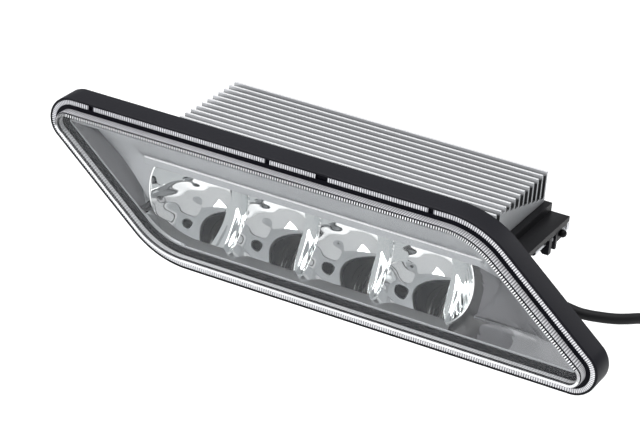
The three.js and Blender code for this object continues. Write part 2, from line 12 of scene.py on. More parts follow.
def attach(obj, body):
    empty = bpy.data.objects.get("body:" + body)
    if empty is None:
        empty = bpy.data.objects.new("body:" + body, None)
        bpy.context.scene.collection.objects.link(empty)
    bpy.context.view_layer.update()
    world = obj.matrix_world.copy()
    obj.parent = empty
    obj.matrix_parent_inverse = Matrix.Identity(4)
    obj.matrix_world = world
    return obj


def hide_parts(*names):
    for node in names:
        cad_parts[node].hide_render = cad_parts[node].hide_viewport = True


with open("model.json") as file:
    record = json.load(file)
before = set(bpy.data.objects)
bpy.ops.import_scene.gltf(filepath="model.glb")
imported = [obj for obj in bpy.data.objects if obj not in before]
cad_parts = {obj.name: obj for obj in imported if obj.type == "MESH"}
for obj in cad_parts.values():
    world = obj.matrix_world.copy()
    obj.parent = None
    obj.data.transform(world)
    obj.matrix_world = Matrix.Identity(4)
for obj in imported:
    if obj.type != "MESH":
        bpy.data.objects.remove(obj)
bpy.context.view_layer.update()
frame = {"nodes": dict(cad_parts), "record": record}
MM = 0.001

# ------------------------------------------------------------------ driving sizes, in millimetres

RIM_HALF_LENGTH, RIM_HALF_HEIGHT, RIM_SLANT = 155.5, 44.0, 1.19
WIDE_RADIUS, TIGHT_RADIUS = 58.0, 15.0
RIM_FRONT, LENS_FRONT, SHELF, LEDGE = -17.0, -23.5, -16.8, -14.5
WALL_INSET = 7.1                    # foot of the lens's fluted wall, from the rim's edge
FOOT_OUTER, FOOT_INNER = 1.6, 4.3   # serrated foot band
FLUTE_PITCH, SERRATION_PITCH = 1.6, 1.47
LAND_OUTER, LAND_INNER, LAND_Y = 10.1, 13.3, -16.3
LIP_OUTER, LIP_INNER, LIP_Y = 13.6, 14.9, -16.2

BOWLS, BOWL_PITCH, BOWL_MIDDLE = 4, 48.3, -8.7
BOWL_RADIUS, BOWL_Z, BOWL_MOUTH, BOWL_DEPTH = 34.2, -3.0, -7.0, 32.0
VISOR_LEFT, VISOR_RIGHT, VISOR_FRONT, VISOR_BOTTOM, VISOR_TOP = -118.6, 104.0, -10.0, 12.5, 18.1

CABLE_DIAMETER = 6.6
CABLE_ROUTE = [
    (112.6, 48, -24.2), (120, 47.9, -24.9), (128, 47.9, -26.3), (135, 48.2, -27.7),
    (142.1, 48.9, -29), (148.4, 50.6, -29.6), (154.2, 53.3, -30.1), (158.8, 56.1, -30.6),
    (163.1, 59.6, -31.2), (167.8, 65.2, -32.1), (172, 72.1, -33.5), (176, 79.5, -36.5),
    (180, 86.5, -41.5), (184, 92.8, -49), (187.4, 97.4, -58.5), (189.8, 100.2, -69.5),
    (191.2, 101.8, -81.5), (192, 102.6, -94.5), (192.4, 103, -108), (192.5, 103.1, -122),
    (192.5, 103.1, -136), (192.5, 103.1, -150), (192.5, 103.1, -164), (192.5, 103.1, -178)]
FLOOR_Z = -0.232

NOTCHES = ((-153.0, 1.5), (-33.1, 1.5), (2.2, 3.6), (71.7, 1.5))    # along the foot band: x, half width

LEFT_CREASE = [(-160.8, 28.2, -14.8), (-149.8, 26.1, -11), (-141, 18.6, -10.6), (-133.2, 11.7, -10),
               (-125.5, 3.4, -9.4), (-119.4, -4.6, -8.8), (-114.2, -13.6, -8.2), (-110.4, -21, -8)]
RIGHT_CREASE = [(115.5, 9.5, -10.5), (114, 1, -10.2), (111.1, -7, -10), (106.8, -14.2, -9.6),
                (101.1, -19.6, -9)]
LOWER_CREASE = [(101.1, -19.6, -9), (120, -18.6, -10), (141.5, -17.6, -11.4)]
TRIM_CREASES = [LEFT_CREASE, RIGHT_CREASE, LOWER_CREASE]            # each point is x, z, y
TRIM_DEPTH, TRIM_THICKNESS = -10.0, 1.0
GRID_STEP, GRID_CLEARANCE = 2.4, 1.1                                # of the trim's free points
FIRST_LIP_ANGLE, LAST_LIP_ANGLE = 156, 24                           # where the outer bowls' lips end

CAMERA_PLACE = (0.5662, -1.1582, 0.6411)
CAMERA_AZIMUTH, CAMERA_ELEVATION, CAMERA_ROLL = 26.245, 26.072, 4.906    # degrees, azimuth from -Y to +X
CAMERA_LENS, SENSOR_WIDTH = 139.65, 36


def bowl_x(i):
    """The middle of bowl i."""
    return BOWL_MIDDLE + (i - (BOWLS - 1) / 2) * BOWL_PITCH


# ------------------------------------------------------------------ camera

def make_camera():
    azimuth, elevation, roll = (math.radians(a) for a in (CAMERA_AZIMUTH, CAMERA_ELEVATION, CAMERA_ROLL))
    data = bpy.data.cameras.new("camera")
    data.sensor_width = SENSOR_WIDTH
    data.lens = CAMERA_LENS
    data.clip_end = 50
    camera = bpy.data.objects.new("camera", data)
    bpy.context.scene.collection.objects.link(camera)
    turn = (Matrix.Rotation(azimuth, 4, "Z") @ Matrix.Rotation(math.pi / 2 - elevation, 4, "X")
            @ Matrix.Rotation(roll, 4, "Z"))
    camera.matrix_world = Matrix.Translation(CAMERA_PLACE) @ turn
    bpy.context.scene.camera = camera


make_camera()


# ------------------------------------------------------------------ materials

def new_material(name, color, roughness, metallic=0.0, vary=0.06, grain=900.0, bump=0.02,
                 stretch=(1, 1, 1), rough_vary=0.08, coat=0.0, specular=0.5):
    """Principled finish whose colour, roughness and relief come from two scales of noise."""
    mat = bpy.data.materials.new(name)
    mat.use_nodes = True
    nodes, links = mat.node_tree.nodes, mat.node_tree.links
    shader = nodes["Principled BSDF"]
    shader.inputs["Metallic"].default_value = metallic
    shader.inputs["Coat Weight"].default_value = coat
    shader.inputs["Specular IOR Level"].default_value = specular
    place = nodes.new("ShaderNodeTexCoord")
    mapping = nodes.new("ShaderNodeMapping")
    mapping.inputs["Scale"].default_value = stretch
    links.new(place.outputs["Object"], mapping.inputs["Vector"])
    broad = nodes.new("ShaderNodeTexNoise")
    broad.inputs["Scale"].default_value = 28.0
    broad.inputs["Detail"].default_value = 3.0
    fine = nodes.new("ShaderNodeTexNoise")
    fine.inputs["Scale"].default_value = grain
    fine.inputs["Detail"].default_value = 2.0
    for texture in (broad, fine):
        links.new(mapping.outputs["Vector"], texture.inputs["Vector"])
    ramp = nodes.new("ShaderNodeValToRGB")
    ramp.color_ramp.elements[0].position = 0.3
    ramp.color_ramp.elements[1].position = 0.7
    ramp.color_ramp.elements[0].color = [c * (1 - vary) for c in color] + [1]
    ramp.color_ramp.elements[1].color = [min(1, c * (1 + vary)) for c in color] + [1]
    links.new(broad.outputs["Fac"], ramp.inputs["Fac"])
    links.new(ramp.outputs["Color"], shader.inputs["Base Color"])
    rough = nodes.new("ShaderNodeMapRange")
    rough.inputs["To Min"].default_value = max(0.02, roughness - rough_vary / 2)
    rough.inputs["To Max"].default_value = min(1, roughness + rough_vary / 2)
    links.new(fine.outputs["Fac"], rough.inputs["Value"])
    links.new(rough.outputs["Result"], shader.inputs["Roughness"])
    if bump:
        relief = nodes.new("ShaderNodeBump")
        relief.inputs["Strength"].default_value = bump
        relief.inputs["Distance"].default_value = 0.0005
        links.new(fine.outputs["Fac"], relief.inputs["Height"])
        links.new(relief.outputs["Normal"], shader.inputs["Normal"])
    return mat


def clear_material(name, color, face_on, edge_on, roughness):
    """Clear plastic whose opacity rises from face_on to edge_on at grazing angles."""
    mat = new_material(name, color, roughness, bump=0, rough_vary=0.02, vary=0.02)
    nodes, links = mat.node_tree.nodes, mat.node_tree.links
    facing = nodes.new("ShaderNodeLayerWeight")
    facing.inputs["Blend"].default_value = 0.35
    opacity = nodes.new("ShaderNodeMapRange")
    opacity.inputs["To Min"].default_value = face_on
    opacity.inputs["To Max"].default_value = edge_on
    links.new(facing.outputs["Facing"], opacity.inputs["Value"])
    links.new(opacity.outputs["Result"], nodes["Principled BSDF"].inputs["Alpha"])
    return mat


LOOK = {
    "satin_black": new_material("satin_black", (0.006, 0.006, 0.009), 0.42, bump=0.05, specular=0.13),
    "gloss_black": new_material("gloss_black", (0.005, 0.005, 0.006), 0.42, bump=0.02, specular=0.12),
    "band_black": new_material("band_black", (0.003, 0.003, 0.006), 0.5, bump=0, specular=0.08),
    "silver_trim": new_material("silver_trim", (0.36, 0.372, 0.385), 0.38, 0.5, bump=0.02, grain=1500),
    # darker copies of the trim's silver, as painted shade: a half shade, a shade and a deep shade for its
    # steep fields and recess
    "silver_painted_half_shade": new_material("silver_painted_half_shade", (0.26, 0.265, 0.275), 0.38, 0.4, bump=0.02, grain=1500),
    "silver_painted_shade": new_material("silver_painted_shade", (0.12, 0.122, 0.13), 0.36, 0.4, bump=0.02, grain=1500),
    "silver_painted_deep_shade": new_material("silver_painted_deep_shade", (0.022, 0.022, 0.024), 0.36, 0.2, bump=0.02, grain=1500),
    "mirror_coat": new_material("mirror_coat", (0.90, 0.92, 0.92), 0.04, 1.0, vary=0.01,
                                rough_vary=0.02, bump=0),
    "cast_aluminium": new_material("cast_aluminium", (0.76, 0.765, 0.78), 0.38, 0.55, vary=0.05,
                                   grain=500, bump=0.05, stretch=(0.06, 1, 1), rough_vary=0.12),
    "steel": new_material("steel", (0.52, 0.53, 0.55), 0.28, 1.0, grain=700, bump=0.03),
    "rubber": new_material("rubber", (0.007, 0.007, 0.008), 0.5, grain=1600, bump=0.10, specular=0.15),
    "pad_grey": new_material("pad_grey", (0.28, 0.30, 0.32), 0.8, grain=1200, bump=0.15),
    "white_mask": new_material("white_mask", (0.80, 0.81, 0.80), 0.5, vary=0.03),
    "brown_mask": new_material("brown_mask", (0.030, 0.022, 0.022), 0.45),
    "green_mask": new_material("green_mask", (0.02, 0.13, 0.06), 0.4),
    "phosphor": new_material("phosphor", (0.85, 0.64, 0.10), 0.5),
    # fin sides and the floor between the fins: cast aluminium with painted shade that deepens down into the
    # slots
    "fin_side_painted_shade": new_material("fin_side_painted_shade", (0.74, 0.75, 0.77), 0.45, 0.5, vary=0.05, grain=500, bump=0.05,
                             stretch=(0.06, 1, 1)),
    # both end faces of the heat sink: cast aluminium painted darker as shade
    "cast_end_painted_shade": new_material("cast_end_painted_shade", (0.30, 0.31, 0.32), 0.45, 0.5, vary=0.15, grain=500, bump=0.15),
    "copper": new_material("copper", (0.60, 0.27, 0.10), 0.3, 1.0, bump=0.04),
    "chip_black": new_material("chip_black", (0.03, 0.03, 0.03), 0.5, bump=0.08),
    "cap_sleeve": new_material("cap_sleeve", (0.04, 0.06, 0.12), 0.35),
    "seal_blue": new_material("seal_blue", (0.05, 0.15, 0.36), 0.6),
    # painted sheen of the clear lens's flutes: brighter on the raised flutes, dimmer between them
    "rib_painted_sheen": new_material("rib_painted_sheen", (0.62, 0.62, 0.64), 0.12, bump=0, coat=0.6),
    "rib_painted_dim_sheen": new_material("rib_painted_dim_sheen", (0.22, 0.22, 0.235), 0.15, bump=0, coat=0.4),
    # painted glints of the clear lens's serrated foot: bright teeth with grey gaps between them
    "tooth_painted_glint": new_material("tooth_painted_glint", (0.93, 0.93, 0.95), 0.14, bump=0, coat=0.6),
    "tooth_gap": new_material("tooth_gap", (0.30, 0.30, 0.33), 0.2, bump=0),
    # painted highlight for the bright edges of the clear lens and the lip of the visor
    "edge_painted_highlight": new_material("edge_painted_highlight", (0.86, 0.87, 0.88), 0.08, bump=0, coat=0.8),
}


def paint_shade_below(mat, low, high, floor):
    """Paints shade onto a finish: fades it to the share floor of its colour from object height high down to
    low.
    """
    nodes, links = mat.node_tree.nodes, mat.node_tree.links
    ramp = next(node for node in nodes if node.type == "VALTORGB")
    place = next(node for node in nodes if node.type == "TEX_COORD")
    split = nodes.new("ShaderNodeSeparateXYZ")
    links.new(place.outputs["Object"], split.inputs["Vector"])
    share = nodes.new("ShaderNodeMapRange")
    share.inputs["From Min"].default_value = low
    share.inputs["From Max"].default_value = high
    share.inputs["To Min"].default_value = floor
    links.new(split.outputs["Z"], share.inputs["Value"])
    scale = nodes.new("ShaderNodeVectorMath")
    scale.operation = "SCALE"
    links.new(ramp.outputs["Color"], scale.inputs[0])
    links.new(share.outputs["Result"], scale.inputs["Scale"])
    links.new(scale.outputs["Vector"], nodes["Principled BSDF"].inputs["Base Color"])


# painted shade in the slots between the fins: darker towards the fins' roots
paint_shade_below(LOOK["fin_side_painted_shade"], 0.0252, 0.0272, 0.08)
LOOK["clear_lens"] = clear_material("clear_lens", (0.55, 0.57, 0.58), 0.02, 0.16, 0.03)
NODE_SLOT = {part["node"]: part["material_slot"] for part in frame["record"]["subparts"]}


# ------------------------------------------------------------------ mesh helpers

def add_object(name, mesh, slots, smooth_angle=None):
    piece = bpy.data.objects.new(name, mesh)
    bpy.context.scene.collection.objects.link(piece)
    for slot in slots:
        mesh.materials.append(LOOK[slot])
    if smooth_angle is not None:
        mesh.shade_smooth()
        mesh.set_sharp_from_angle(angle=math.radians(smooth_angle))
    return piece


def finish_piece(piece, slot, *nodes, body="lamp"):
    """Rides on a body and stands for the CAD nodes given; slot is not used."""
    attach(piece, body)
    if nodes:
        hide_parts(*nodes)
    return piece


def mesh_from(name, points, faces, indices=None, flip=False):
    """points in millimetres; indices are the faces' material indices."""
    mesh = bpy.data.meshes.new(name)
    if flip:
        faces = [tuple(reversed(face)) for face in faces]
    mesh.from_pydata([Vector(p) * MM for p in points], [], faces)
    if indices:
        mesh.polygons.foreach_set("material_index", indices)
    mesh.update()
    return mesh


def outline(count, half_length=RIM_HALF_LENGTH, bottom=-RIM_HALF_HEIGHT, top=RIM_HALF_HEIGHT,
            slant=RIM_SLANT, wide=WIDE_RADIUS, tight=TIGHT_RADIUS, centre_x=0.0, arc_steps=40):
    """Evenly spaced (point, outward normal) pairs on a rounded parallelogram, in XZ."""
    def edge(side, z):
        return Vector((centre_x + side * half_length - slant * z, z))
    corners = [edge(-1, bottom), edge(1, bottom), edge(1, top), edge(-1, top)]
    dense = []
    for k, corner in enumerate(corners):
        into = (corner - corners[k - 1]).normalized()
        out = (corners[(k + 1) % 4] - corner).normalized()
        turn = math.acos(into.dot(out))
        radius = (wide, tight)[k % 2]
        start = corner - into * radius * math.tan(turn / 2)
        first = Vector((into.y, -into.x))
        centre = start - first * radius
        for i in range(arc_steps + 1):
            angle = turn * i / arc_steps
            normal = Vector((first.x * math.cos(angle) - first.y * math.sin(angle),
                             first.x * math.sin(angle) + first.y * math.cos(angle)))
            dense.append((centre + normal * radius, normal))
    dense.append(dense[0])
    lengths = [0.0]
    for (a, _), (b, _) in zip(dense, dense[1:]):
        lengths.append(lengths[-1] + (b - a).length)
    samples, k = [], 0
    for i in range(count):
        target = lengths[-1] * i / count
        while lengths[k + 1] < target:
            k += 1
        span = lengths[k + 1] - lengths[k]
        share = (target - lengths[k]) / span if span else 0.0
        point = dense[k][0].lerp(dense[k + 1][0], share)
        samples.append((point, dense[k][1].lerp(dense[k + 1][1], share).normalized()))
    return samples


def outline_length():
    points = [point for point, _ in outline(2000)]
    return sum((b - a).length for a, b in zip(points, points[1:] + points[:1]))


def sweep(name, samples, section, slots, strip_slot, smooth_angle=35, cap=None):
    """Rings at (inset, y) pairs round the outline, joined into a band.

    section(column) gives the pairs, strip_slot(strip, column) each face's material index, and cap
    the material index of the flat face that closes the last ring, or None where it runs in a loop.
    """
    columns = len(samples)
    rows = len(section(0))
    points, faces, indices = [], [], []
    for column, (point, normal) in enumerate(samples):
        for inset, y in section(column):
            at = point - normal * inset
            points.append((at.x, y, at.y))
    strips = rows if cap is None else rows - 1
    for column in range(columns):
        following = (column + 1) % columns
        for strip in range(strips):
            a, b = column * rows + strip, column * rows + (strip + 1) % rows
            c, d = following * rows + (strip + 1) % rows, following * rows + strip
            faces.append((a, b, c, d))
            indices.append(strip_slot(strip, column))
    if cap is not None:
        for row, order in ((rows - 1, 1), (0, -1)):
            faces.append(tuple(column * rows + row for column in range(columns))[::order])
            indices.append(cap)
    mesh = mesh_from(name, points, faces, indices, flip=True)
    return add_object(name, mesh, slots, smooth_angle)


def refined(node, slot=None, bevel=0.25, angle=35):
    """A copy of a CAD node with merged corners, rounded edges and a fine finish."""
    source = frame["nodes"][node]
    mesh = source.data.copy()
    mesh.name = node + "_fine"
    work = bmesh.new()
    work.from_mesh(mesh)
    bmesh.ops.remove_doubles(work, verts=work.verts, dist=1e-6)
    bmesh.ops.dissolve_limit(work, angle_limit=math.radians(0.6), verts=work.verts, edges=work.edges)
    work.to_mesh(mesh)
    work.free()
    mesh.materials.clear()
    slot = slot or NODE_SLOT[node]
    piece = add_object(node + "_fine", mesh, [slot], angle)
    if bevel:
        rounding = piece.modifiers.new("edges", "BEVEL")
        rounding.width = bevel * MM
        rounding.segments = 2
        rounding.limit_method = "ANGLE"
        rounding.angle_limit = math.radians(angle)
        rounding.harden_normals = True
    body = next(b for b, nodes in frame["record"]["behaviour"]["bodies"].items() if node in nodes)
    return finish_piece(piece, slot, node, body=body)


# ------------------------------------------------------------------ cable and its plug

def smooth_route(points, per_span=6):
    """Catmull-Rom points through the route, in metres."""
    knots = [Vector(p) * MM for p in points]
    ends = [knots[0] * 2 - knots[1]] + knots + [knots[-1] * 2 - knots[-2]]
    route = []
    for p0, p1, p2, p3 in zip(ends, ends[1:], ends[2:], ends[3:]):
        for k in range(per_span):
            t = k / per_span
            route.append(0.5 * (2 * p1 + (p2 - p0) * t + (2 * p0 - 5 * p1 + 4 * p2 - p3) * t ** 2
                                + (3 * p1 - p0 - 3 * p2 + p3) * t ** 3))
    return route + [knots[-1]]


def make_cable():
    route = smooth_route(CABLE_ROUTE)
    data = bpy.data.curves.new("cable_line", "CURVE")
    data.dimensions = "3D"
    data.bevel_depth = CABLE_DIAMETER / 2 * MM
    data.bevel_resolution = 6
    data.use_fill_caps = True
    spline = data.splines.new("POLY")
    spline.points.add(len(route) - 1)
    for point, at in zip(spline.points, route):
        point.co = (*at, 1)
    spline.use_smooth = True
    cable = bpy.data.objects.new("cable", data)
    bpy.context.scene.collection.objects.link(cable)
    data.materials.append(LOOK["rubber"])
    finish_piece(cable, "rubber", "supply_cable")
    length = sum((b - a).length for a, b in zip(route, route[1:]))
    plug = [refined(node, bevel=size) for node, size in (
        ("plug_seal", 0.2), ("plug_body", 0.5), ("plug_pin_1", 0.15), ("plug_pin_2", 0.15))]
    tuple(route[0])


make_cable()


# ------------------------------------------------------------------ rim and lens

def make_rim():
    chamber = outline(720, half_length=116.1, bottom=-34.8, top=9.9, slant=0.6, wide=11.5,
                      tight=7.5, centre_x=-5.5)
    samples = outline(720)
    profile = [(0, 0), (0, -16.2), (0.1, -16.6), (0.35, -16.9), (0.6, RIM_FRONT), (1.3, RIM_FRONT),
               (1.45, -16.85), (1.45, -14.2), (LAND_OUTER, -14.2), (LAND_OUTER, -16.1),
               (LAND_OUTER + 0.2, LAND_Y), (LAND_INNER - 0.2, LAND_Y), (LAND_INNER, -16.1),
               (LAND_INNER, -2.5)]
    points, faces = [], []
    rows = len(profile) + 2
    for (point, normal), (inner, _) in zip(samples, chamber):
        for inset, y in profile:
            at = point - normal * inset
            points.append((at.x, y, at.y))
        points += [(inner.x, -2.5, inner.y), (inner.x, 0, inner.y)]
    for column in range(len(samples)):
        following = (column + 1) % len(samples)
        for row in range(rows):
            after = (row + 1) % rows
            faces.append((column * rows + row, following * rows + row,
                          following * rows + after, column * rows + after))
    rim = add_object("rim", mesh_from("rim", points, faces), ["satin_black"], 35)
    return finish_piece(rim, "satin_black", "front_frame")


def make_lens():
    flutes = round(outline_length() / FLUTE_PITCH)
    samples = outline(flutes * 4)
    lip = 0.5                       # how far the front edge is rounded

    def section(column):
        rib = 0.0 if column % 4 < 2 else 0.35
        step = 0.0 if column % 4 < 2 else 0.25
        return [(9.5, -21.1), (9.5, -17.6), (9.5, LEDGE), (FOOT_INNER, LEDGE), (FOOT_INNER, SHELF),
                (WALL_INSET, SHELF), (WALL_INSET + rib, SHELF - 0.1), (WALL_INSET + rib, -21.9),
                (WALL_INSET + 0.2, -22.4), (WALL_INSET + 0.35, LENS_FRONT + lip),
                (WALL_INSET + 0.6, LENS_FRONT + 0.1 + step), (WALL_INSET + 1.1, LENS_FRONT + step),
                (WALL_INSET + 2.2, LENS_FRONT + step), (WALL_INSET + 2.3, LENS_FRONT)]

    def strip_slot(strip, column):
        raised = column % 4 < 2
        # the inside face: painted highlight on the raised flutes, painted sheen on the others
        if strip == 0:
            return 1 if raised else 3
        if strip in (1, 2, 3, 4, 8, 9):
            return 2
        # the fluted wall: painted sheen on the raised flutes, a dimmer painted sheen between them
        if strip in (5, 6, 7):
            return 3 if raised else 4
        # the front edge: painted highlight on the raised flutes everywhere, and on every flute along the
        # lower sides
        low = samples[column][1].y < -0.3
        return 1 if raised or low else 2

    lens = sweep("lens_cover", samples, section,
                 ["clear_lens", "edge_painted_highlight", "band_black", "rib_painted_sheen", "rib_painted_dim_sheen"], strip_slot, cap=0)
    return finish_piece(lens, "clear_lens", "lens")


def make_lens_foot():
    teeth = round(outline_length() / SERRATION_PITCH)
    samples = outline(teeth * 4)

    def notched(column):
        at = samples[column][0]
        return at.y > 0 and any(abs(at.x - x) < half for x, half in NOTCHES)

    def section(column):
        top = SHELF + (1.2 if notched(column) else -0.15 if column % 4 < 2 else 0.25)
        return [(FOOT_OUTER, LEDGE + 0.05), (FOOT_OUTER, top + 0.1), (FOOT_OUTER + 0.15, top),
                (FOOT_INNER - 0.15, top), (FOOT_INNER, top + 0.15), (FOOT_INNER, LEDGE + 0.05)]

    # the clear teeth alternate a painted glint with grey gaps; at the notches they go dark
    foot = sweep("lens_foot", samples, section, ["tooth_painted_glint", "tooth_gap", "band_black"],
                 lambda strip, column: 2 if notched(column) else 0 if column % 4 < 2 else 1)
    return finish_piece(foot, "clear_lens")


make_rim()
make_lens()
make_lens_foot()


# ------------------------------------------------------------------ silver trim and visor

def arc_points(centre_x, start, end, steps, radius=BOWL_RADIUS + 1.0):
    """Points on a bowl's rim circle from one angle to another, in degrees from +X."""
    return [(centre_x + radius * math.cos(math.radians(start + (end - start) * k / steps)),
             BOWL_Z + radius * math.sin(math.radians(start + (end - start) * k / steps)))
            for k in range(steps + 1)]


def inside(loop, x, z):
    """Even-odd test of (x, z) against a closed outline whose points start with their own x and z."""
    hits = 0
    for p, q in zip(loop, loop[1:] + loop[:1]):
        if (p[1] > z) != (q[1] > z) and x < p[0] + (z - p[1]) * (q[0] - p[0]) / (q[1] - p[1]):
            hits += 1
    return hits % 2 == 1


def relaxed(depth, settled, triangles, rounds=160):
    """Depths with every free point drawn to the mean of its neighbours, so each field curves evenly."""
    around = [set() for _ in depth]
    for triangle in triangles:
        for corner in triangle:
            around[corner].update(k for k in triangle if k != corner)
    free = [k for k, links in enumerate(around) if links and k not in settled]
    for _ in range(rounds):
        for k in free:
            depth[k] += 1.6 * (sum(depth[n] for n in around[k]) / len(around[k]) - depth[k])
    return depth


def crease_x(line, z):
    """Where a crease that runs down from its first point crosses height z; its last span carries on."""
    spans = list(zip(line, line[1:]))
    (x0, z0, _), (x1, z1, _) = next((span for span in spans if z >= span[1][1]), spans[-1])
    return x0 + (z - z0) * (x1 - x0) / (z1 - z0)


def trim_field(x, z):
    """Material index of the trim at (x, z): light fields in the plain silver, steep fields in painted shade
    and the recess round the last bowl in deep painted shade.
    """
    # light is the plain silver; shaded, middle and dark are painted shade
    light, shaded, middle, dark = range(4)
    if x < -60:
        return shaded if x < crease_x(LEFT_CREASE, z) else light
    if x <= 75 or z >= 12:
        return light
    if math.dist((x, z), (bowl_x(BOWLS - 1), BOWL_Z)) < BOWL_RADIUS + 7:
        return dark
    if z > -19.6 + 0.05 * (x - 101):
        return shaded
    return middle if x > 128 else shaded if x > 108 else dark


def make_trim():
    mouth = [(p - n * LIP_INNER) for p, n in outline(420)]
    floor_z = -RIM_HALF_HEIGHT + LIP_INNER
    reach = math.degrees(math.asin((floor_z - BOWL_Z + 0.02) / (BOWL_RADIUS + 1.0)))
    right_arc = arc_points(bowl_x(BOWLS - 1), reach, LAST_LIP_ANGLE, 30)
    left_arc = arc_points(bowl_x(0), FIRST_LIP_ANGLE, 180 - reach, 30)
    left_x, right_x = left_arc[-1][0], right_arc[0][0]
    ring = [(p.x, p.y) for p in mouth if not (abs(p.y - floor_z) < 0.01 and left_x < p.x < right_x)]
    start = max(range(len(ring)), key=lambda k: math.dist(ring[k], ring[k - 1]))
    ring = ring[start:] + ring[:start]
    loop = [(x, z, LIP_Y + 0.2) for x, z in ring]
    loop += [(x, z, BOWL_MOUTH - 0.5) for x, z in left_arc[::-1]]
    loop += [(VISOR_LEFT, VISOR_TOP, VISOR_FRONT + 0.1)]
    loop += [(VISOR_LEFT + (VISOR_RIGHT - VISOR_LEFT) * k / 20, VISOR_TOP, VISOR_FRONT + 0.1)
             for k in range(1, 21)]
    loop += [(x, z, BOWL_MOUTH - 0.5) for x, z in right_arc[::-1]]
    heights = list(loop)
    edges = [(k, (k + 1) % len(loop)) for k in range(len(loop))]
    for line in TRIM_CREASES:
        base = len(heights)
        heights += line
        edges += [(base + k, base + k + 1) for k in range(len(line) - 1)]
    known = len(heights)
    for row in range(-14, 15):
        for column in range(-80, 81):
            x, z = column * GRID_STEP + 0.31 * row, row * GRID_STEP + 0.17
            clearance = min(math.dist((x, z), p[:2]) for p in heights[:known])
            if inside(loop, x, z) and clearance > GRID_CLEARANCE:
                heights.append((x, z, TRIM_DEPTH))
    result = delaunay_2d_cdt([Vector((x, z)) for x, z, _ in heights], edges, [], 0, 1e-4)
    points, triangles, origins = result[0], result[2], result[3]
    kept = [t for t in triangles
            if inside(loop, sum(points[i].x for i in t) / 3, sum(points[i].y for i in t) / 3)]
    settled = {k for k, source in enumerate(origins) if source and min(source) < known}
    depth = [heights[min(source)][2] if source else TRIM_DEPTH for source in origins]
    depth = relaxed(depth, settled, kept)
    mesh = mesh_from("trim", [(p.x, y, p.y) for p, y in zip(points, depth)], kept,
                     [trim_field(sum(points[i].x for i in t) / 3, sum(points[i].y for i in t) / 3)
                      for t in kept])
    work = bmesh.new()
    work.from_mesh(mesh)
    bmesh.ops.recalc_face_normals(work, faces=work.faces)
    if sum(face.normal.y for face in work.faces) > 0:
        bmesh.ops.reverse_faces(work, faces=work.faces)
    for edge in work.edges:
        edge.smooth = not all(vert.index in settled for vert in edge.verts)
    work.to_mesh(mesh)
    work.free()
    trim = add_object("trim", mesh, ["silver_trim", "silver_painted_shade", "silver_painted_half_shade", "silver_painted_deep_shade"])
    mesh.polygons.foreach_set("use_smooth", [True] * len(mesh.polygons))
    shell = trim.modifiers.new("sheet", "SOLIDIFY")
    shell.thickness = TRIM_THICKNESS * MM
    shell.offset = -1
    finish_piece(trim, "silver_trim", "inner_trim")
    lip = sweep("trim_lip", outline(720), lambda column: [
        (LIP_OUTER, -14.6), (LIP_OUTER, LIP_Y + 0.25), (LIP_OUTER + 0.25, LIP_Y),
        (LIP_INNER - 0.2, LIP_Y), (LIP_INNER, LIP_Y + 0.2), (LIP_INNER, -14.6)],
        ["silver_trim"], lambda strip, column: 0)
    finish_piece(lip, "silver_trim")


def make_trim_beads():
    """Row of small raised beads across the trim's right-hand field."""
    work = bmesh.new()
    start, end = Vector((102.5, -9.9, -19.0)), Vector((139.5, -11.9, -17.2))
    beads = 30
    for k in range(beads):
        at = start.lerp(end, k / (beads - 1)) * MM
        bmesh.ops.create_uvsphere(work, u_segments=10, v_segments=6, radius=0.5 * MM,
                                  matrix=Matrix.Translation(at))
    mesh = bpy.data.meshes.new("trim_beads")
    work.to_mesh(mesh)
    work.free()
    finish_piece(add_object("trim_beads", mesh, ["silver_trim"], 60), "silver_trim")


def make_lining():
    """Silver lining of the window's lower edge, in front of the bowls."""
    rows, front, back = 12, -15.9, -2.7
    edge = [p - n * (LAND_INNER + 0.2) for p, n in outline(1400)]
    edge = edge[:next(k for k, p in enumerate(edge) if p.x > bowl_x(BOWLS - 1) + 26)]
    edge = [p for p in edge if p.x > bowl_x(0) - 42]
    points, faces = [], []
    for p in edge:
        points += [(p.x, front + (back - front) * row / rows, p.y) for row in range(rows + 1)]
    for k in range(len(edge) - 1):
        for row in range(rows):
            a = k * (rows + 1) + row
            faces.append((a, a + rows + 1, a + rows + 2, a + 1))
    lining = add_object("lining", mesh_from("lining", points, faces), ["silver_trim"], 30)
    shell = lining.modifiers.new("sheet", "SOLIDIFY")
    shell.thickness = 0.12 * MM
    shell.offset = -1
    finish_piece(lining, "silver_trim")


def make_visor():
    y, low, high = VISOR_FRONT, VISOR_BOTTOM, VISOR_TOP
    section = [(y, low + 0.3), (y, high - 1.2), (y - 0.05, high - 0.9), (y - 0.45, high - 0.6),
               (y - 0.55, high - 0.25), (y - 0.4, high + 0.05), (y, high + 0.15), (y + 0.8, high + 0.15),
               (-3.0, high), (-3.0, low - 3.0), (y + 0.4, low)]
    count = 90
    points, faces, indices = [], [], []
    for k in range(count + 1):
        x = VISOR_LEFT + (VISOR_RIGHT - VISOR_LEFT) * k / count
        points += [(x, py, pz) for py, pz in section]
    rows = len(section)
    for k in range(count):
        for row in range(rows):
            after = (row + 1) % rows
            faces.append((k * rows + row, k * rows + after, (k + 1) * rows + after, (k + 1) * rows + row))
            # rows 1 to 5, the lip's bead, take the painted highlight
            indices.append(1 if 1 <= row <= 5 else 0)
    faces.append(tuple(range(rows))[::-1])
    faces.append(tuple(count * rows + row for row in range(rows)))
    mesh = mesh_from("visor_bar", points, faces, indices + [0, 0])
    visor = add_object("visor_bar", mesh, ["silver_trim", "edge_painted_highlight"], 30)
    finish_piece(visor, "silver_trim", "visor")


make_trim()
make_trim_beads()
make_lining()
make_visor()


# ------------------------------------------------------------------ reflectors

